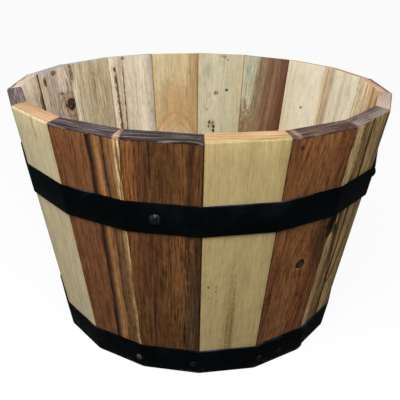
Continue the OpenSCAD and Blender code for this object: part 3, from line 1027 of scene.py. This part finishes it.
def black_paint(name, low_edge, scuff_below=None):
    """Satin black paint over steel, with a painted highlight along the upper edge, and scuffed to grey on
    the ground.
    """
    enamel = Recipe(bpy.data.materials.new(name))
    anywhere = enamel.place()
    z = enamel.axes(anywhere)[2]
    orange_peel = enamel.noise(anywhere, 900)
    dull = enamel.noise(anywhere, 22, detail=3)
    dust = enamel.noise(anywhere, 260, detail=3, rough=0.65)
    colour = enamel.blended(shade(2, 5, 7), shade(14, 17, 20), enamel.between(dull, 0.4, 0.85))
    colour = enamel.blended(colour, shade(62, 62, 64), enamel.between(dust, 0.66, 0.74) * 0.35)
    roughness = 0.4 + dull * 0.2
    # A blue-grey line in patches just under the upper edge is a painted highlight: the sheen of the strip's
    # top edge.
    upper_edge = hoop_level(low_edge / cos(LEAN) + strip_wide, 0) * MM
    highlight_patches = enamel.between(enamel.noise(anywhere, 11), 0.5, 0.66)
    painted_edge_highlight = enamel.between(z, upper_edge - 1.2 * MM, upper_edge - 0.6 * MM) * highlight_patches
    colour = enamel.blended(colour, shade(58, 66, 78), painted_edge_highlight * 0.7)
    if scuff_below:
        low = 1 - enamel.between(z, 0, scuff_below * MM)
        scraped = enamel.between(enamel.noise(anywhere, 16, detail=1), 0.46, 0.56) * low
        scuffs = enamel.between(dust + low * 0.14, 0.62, 0.72) * scraped
        colour = enamel.blended(colour, shade(92, 90, 88), scuffs * 0.6)
        roughness = roughness + scuffs * 0.2
    return enamel.coat(colour, roughness, shine=0.04, relief=(orange_peel, 0.08, 0.1 * MM))


upper_low_edge = 209
lower_low_edge = 1
upper_lap = 4
lower_lap = 2
scuff_high = 14
for name, low_edge, lap, scuff in (
    ("upper_hoop", upper_low_edge, upper_lap, None),
    ("lower_hoop", lower_low_edge, lower_lap, scuff_high),
):
    hoop = make_hoop(low_edge, lap)
    dress(hoop, black_paint(f"{name}_paint", low_edge, scuff), name)

# ---------------- Screws
# Black screws with domed heads and a cross recess. Four broad ones hold the upper hoop to its
# staves. Twelve smaller ones go through the lower hoop and a stave into the end of a plank.
broad = dict(head_wide=13, head_high=4.2, shank=4.5, bite=14)
small = dict(head_wide=8.6, head_high=2.8, shank=4, bite=stave_thick + plank_clear + 22)
broad_angles = [-12, 68, 168, 248]
bend_margin = 0.2
small_height = 17
small_apothem = foot_apothem + small_height * tan(LEAN)
bend_clear = degrees(asin((small["head_wide"] / 2 + bend_margin) / small_apothem))
front_angles = [-53, -20 - bend_clear, -2, 20 + bend_clear, 30, 40 + bend_clear]
small_angles = front_angles + [angle + 180 for angle in front_angles]
broad_slope = upper_low_edge / cos(LEAN) + strip_wide / 2
small_slope = small_height / cos(LEAN)
dome_steps = 6
recess_taper = 0.62
rusty_number = 2


def turn_screw(head_wide, head_high, shank, bite, layers):
    """One screw, its head's underside at the origin and its shank along -Z."""
    flank = 0.3 * head_high
    dome = head_high - flank
    radius = head_wide / 2
    ball = (radius**2 + dome**2) / (2 * dome)
    screw = start_rod(36, head_wide, 0, flank)
    select_level(screw, flank)
    reached, wide = 0, radius
    for step in range(1, dome_steps + 1):
        rise = dome * sin(pi / 2 * step / dome_steps)
        now_wide = sqrt(max(ball**2 - (ball - dome + rise) ** 2, 0.01 * radius**2))
        stretch_top([(rise - reached, now_wide / wide)])
        reached, wide = rise, now_wide
    select_level(screw, 0)
    bpy.ops.mesh.inset(thickness=(radius - shank / 2) * MM)
    length = bite + layers * strip_layer
    tip = 1.2 * shank
    stretch_top([(tip - length, 1), (-tip, 0.125)])
    bpy.ops.mesh.select_all(action="SELECT")
    bpy.ops.mesh.normals_make_consistent(inside=False)
    set_mode("OBJECT")

    # The driver's cross recess
    arm, blade, depth = 0.25 * head_wide, 0.06 * head_wide, 0.5 * head_high
    for reach_x, reach_y in ((arm, blade), (blade, arm)):
        cutter = start_cube((-reach_x, -reach_y, head_high - depth), (reach_x, reach_y, head_high + 1))
        select_level(cutter, head_high - depth)
        bpy.ops.transform.resize(value=(recess_taper, recess_taper, 1))
        set_mode("OBJECT")
        apply_modifier(screw, "BOOLEAN", operation="DIFFERENCE", object=cutter, solver="EXACT")
        remove_piece(cutter)
    ease_edges(screw, 0.15, angle=32)
    return screw


def screw_paint(name, wear_and_highlight_tone, wear_and_glint):
    """Blackened steel with bright specks that are partly rubbed bare on the high places and partly painted
    glints.
    """
    finish = Recipe(bpy.data.materials.new(name))
    rub = finish.noise(finish.place(), 520, detail=4, rough=0.7)
    # The bright specks are partly wear and partly painted glints of light on the head.
    worn_and_glinting = finish.between(rub, 0.62 - wear_and_glint * 0.25, 0.72)
    colour = finish.blended(shade(7, 8, 10), wear_and_highlight_tone, worn_and_glinting * 0.8)
    relief = (rub, 0.25, 0.2 * MM)
    return finish.coat(colour, 0.3 + rub * 0.25, shine=0.16, metal=worn_and_glinting * 0.6, relief=relief)


dark_screw = screw_paint("blackened_screw", shade(104, 106, 114), 0.42)
dull_screw = screw_paint("dull_screw", shade(70, 72, 78), 0.3)
rusty_screw = screw_paint("rusty_screw", shade(150, 116, 98), 1)


def drive_screws(kind, name, angles, slope, lap):
    """Copies a screw to each of its places: square to the face, on one layer of strip or two."""
    height = slope * cos(LEAN)
    lap_start = (lap - 1) * degrees(PITCH)
    lap_reach = degrees(PITCH) + 2 * bend_clear
    for layers in (1, 2):
        pattern = turn_screw(layers=layers, **kind)
        for number, angle in enumerate(angles, 1):
            stave = int(angle // degrees(PITCH)) + 1
            if layers != (2 if (angle - lap_start) % 360 < lap_reach else 1):
                continue
            screw = copy_piece(pattern)
            off_middle = radians(angle) - stave_angle(stave)
            across = (foot_apothem + height * tan(LEAN)) * tan(off_middle)
            seat = Matrix.Translation(Vector((across, -layers * strip_layer, slope)) * MM)
            outwards = Matrix.Rotation(pi / 2, 4, "X")
            turned = Matrix.Rotation(random.uniform(0, pi / 2), 4, "Z")
            screw.data.transform(on_stave(stave) @ seat @ outwards @ turned)
            rusty = kind is small and number == rusty_number
            steel = rusty_screw if rusty else dull_screw if kind is small else dark_screw
            dress(screw, steel, f"{name}s", f"{name}_{number:02d}")
        remove_piece(pattern)


drive_screws(broad, "upper_hoop_screw", broad_angles, broad_slope, upper_lap)
drive_screws(small, "lower_hoop_screw", small_angles, small_slope, lower_lap)
